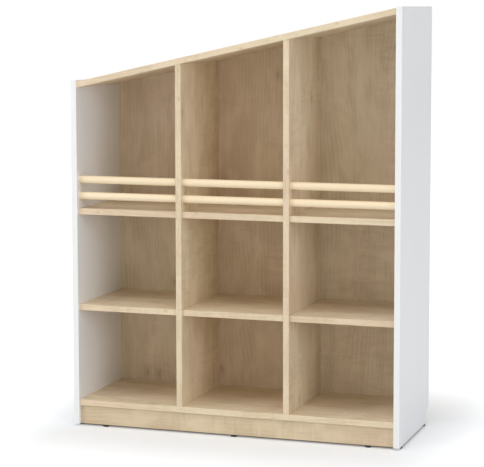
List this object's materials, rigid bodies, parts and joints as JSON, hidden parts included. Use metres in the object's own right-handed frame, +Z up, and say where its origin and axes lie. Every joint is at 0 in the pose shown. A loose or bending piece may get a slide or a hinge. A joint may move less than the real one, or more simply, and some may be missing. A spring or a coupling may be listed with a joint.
{
  "type": "display cabinet",
  "caption": "Open display cabinet with a slanted top, white side panels, maple shelves in three bays, round guard rails and screw-in feet.",
  "frame": {"origin": "on the floor, under the middle of the cabinet's width and depth", "axes": "+X from the short side panel to the tall one, +Y from the open front to the back, +Z up"},
  "size_m": [1.014, 0.375, 1.2658],
  "materials": {
    "white_laminate": "fine satin melamine",
    "white_edge": "satin edge band",
    "maple": "satin maple decor",
    "maple_edge": "satin maple edge band",
    "rod_wood": "satin lacquered beech",
    "dowel_wood": "raw beech",
    "black_plastic": "moulded",
    "zinc": "zinc plated"
  },
  "bodies": {
    "cabinet": {"left_side_panel": "white_laminate", "right_side_panel": "white_laminate", "left_side_edge_band": "white_edge", "right_side_edge_band": "white_edge", "top_board": "maple", "left_divider": "maple", "right_divider": "maple", "bottom_shelf": "maple", "lower_shelf_left": "maple", "lower_shelf_middle": "maple", "lower_shelf_right": "maple", "upper_shelf_left": "maple", "upper_shelf_middle": "maple", "upper_shelf_right": "maple", "back_panel": "maple", "plinth_front_rail": "maple", "plinth_rear_rail": "maple", "top_edge_band": "maple_edge", "left_divider_edge_band": "maple_edge", "right_divider_edge_band": "maple_edge", "bottom_shelf_edge_band": "maple_edge", "lower_shelf_left_edge_band": "maple_edge", "lower_shelf_middle_edge_band": "maple_edge", "lower_shelf_right_edge_band": "maple_edge", "upper_shelf_left_edge_band": "maple_edge", "upper_shelf_middle_edge_band": "maple_edge", "upper_shelf_right_edge_band": "maple_edge", "guard_rod_left_lower": "rod_wood", "guard_rod_left_upper": "rod_wood", "guard_rod_middle_lower": "rod_wood", "guard_rod_middle_upper": "rod_wood", "guard_rod_right_lower": "rod_wood", "guard_rod_right_upper": "rod_wood", "cam_locks": "zinc", "cam_bolts": "zinc", "divider_screws": "zinc", "foot_inserts": "zinc", "short_dowels": "dowel_wood", "long_dowels": "dowel_wood"},
    "foot_left_side_front": {"foot_left_side_front": "black_plastic"},
    "foot_right_side_front": {"foot_right_side_front": "black_plastic"},
    "foot_left_side_rear": {"foot_left_side_rear": "black_plastic"},
    "foot_right_side_rear": {"foot_right_side_rear": "black_plastic"},
    "foot_plinth_left": {"foot_plinth_left": "black_plastic"},
    "foot_rear_rail_left": {"foot_rear_rail_left": "black_plastic"},
    "foot_plinth_middle": {"foot_plinth_middle": "black_plastic"},
    "foot_rear_rail_middle": {"foot_rear_rail_middle": "black_plastic"},
    "foot_plinth_right": {"foot_plinth_right": "black_plastic"},
    "foot_rear_rail_right": {"foot_rear_rail_right": "black_plastic"}
  },
  "joints": [
    {"name": "foot_left_side_front_screw", "type": "slide", "parent": "cabinet", "child": "foot_left_side_front", "axis": [0, 0, -1], "range_m": [0, 0.008]},
    {"name": "foot_right_side_front_screw", "type": "slide", "parent": "cabinet", "child": "foot_right_side_front", "axis": [0, 0, -1], "range_m": [0, 0.008]},
    {"name": "foot_left_side_rear_screw", "type": "slide", "parent": "cabinet", "child": "foot_left_side_rear", "axis": [0, 0, -1], "range_m": [0, 0.008]},
    {"name": "foot_right_side_rear_screw", "type": "slide", "parent": "cabinet", "child": "foot_right_side_rear", "axis": [0, 0, -1], "range_m": [0, 0.008]},
    {"name": "foot_plinth_left_screw", "type": "slide", "parent": "cabinet", "child": "foot_plinth_left", "axis": [0, 0, -1], "range_m": [0, 0.008]},
    {"name": "foot_rear_rail_left_screw", "type": "slide", "parent": "cabinet", "child": "foot_rear_rail_left", "axis": [0, 0, -1], "range_m": [0, 0.008]},
    {"name": "foot_plinth_middle_screw", "type": "slide", "parent": "cabinet", "child": "foot_plinth_middle", "axis": [0, 0, -1], "range_m": [0, 0.008]},
    {"name": "foot_rear_rail_middle_screw", "type": "slide", "parent": "cabinet", "child": "foot_rear_rail_middle", "axis": [0, 0, -1], "range_m": [0, 0.008]},
    {"name": "foot_plinth_right_screw", "type": "slide", "parent": "cabinet", "child": "foot_plinth_right", "axis": [0, 0, -1], "range_m": [0, 0.008]},
    {"name": "foot_rear_rail_right_screw", "type": "slide", "parent": "cabinet", "child": "foot_rear_rail_right", "axis": [0, 0, -1], "range_m": [0, 0.008]}
  ]
}
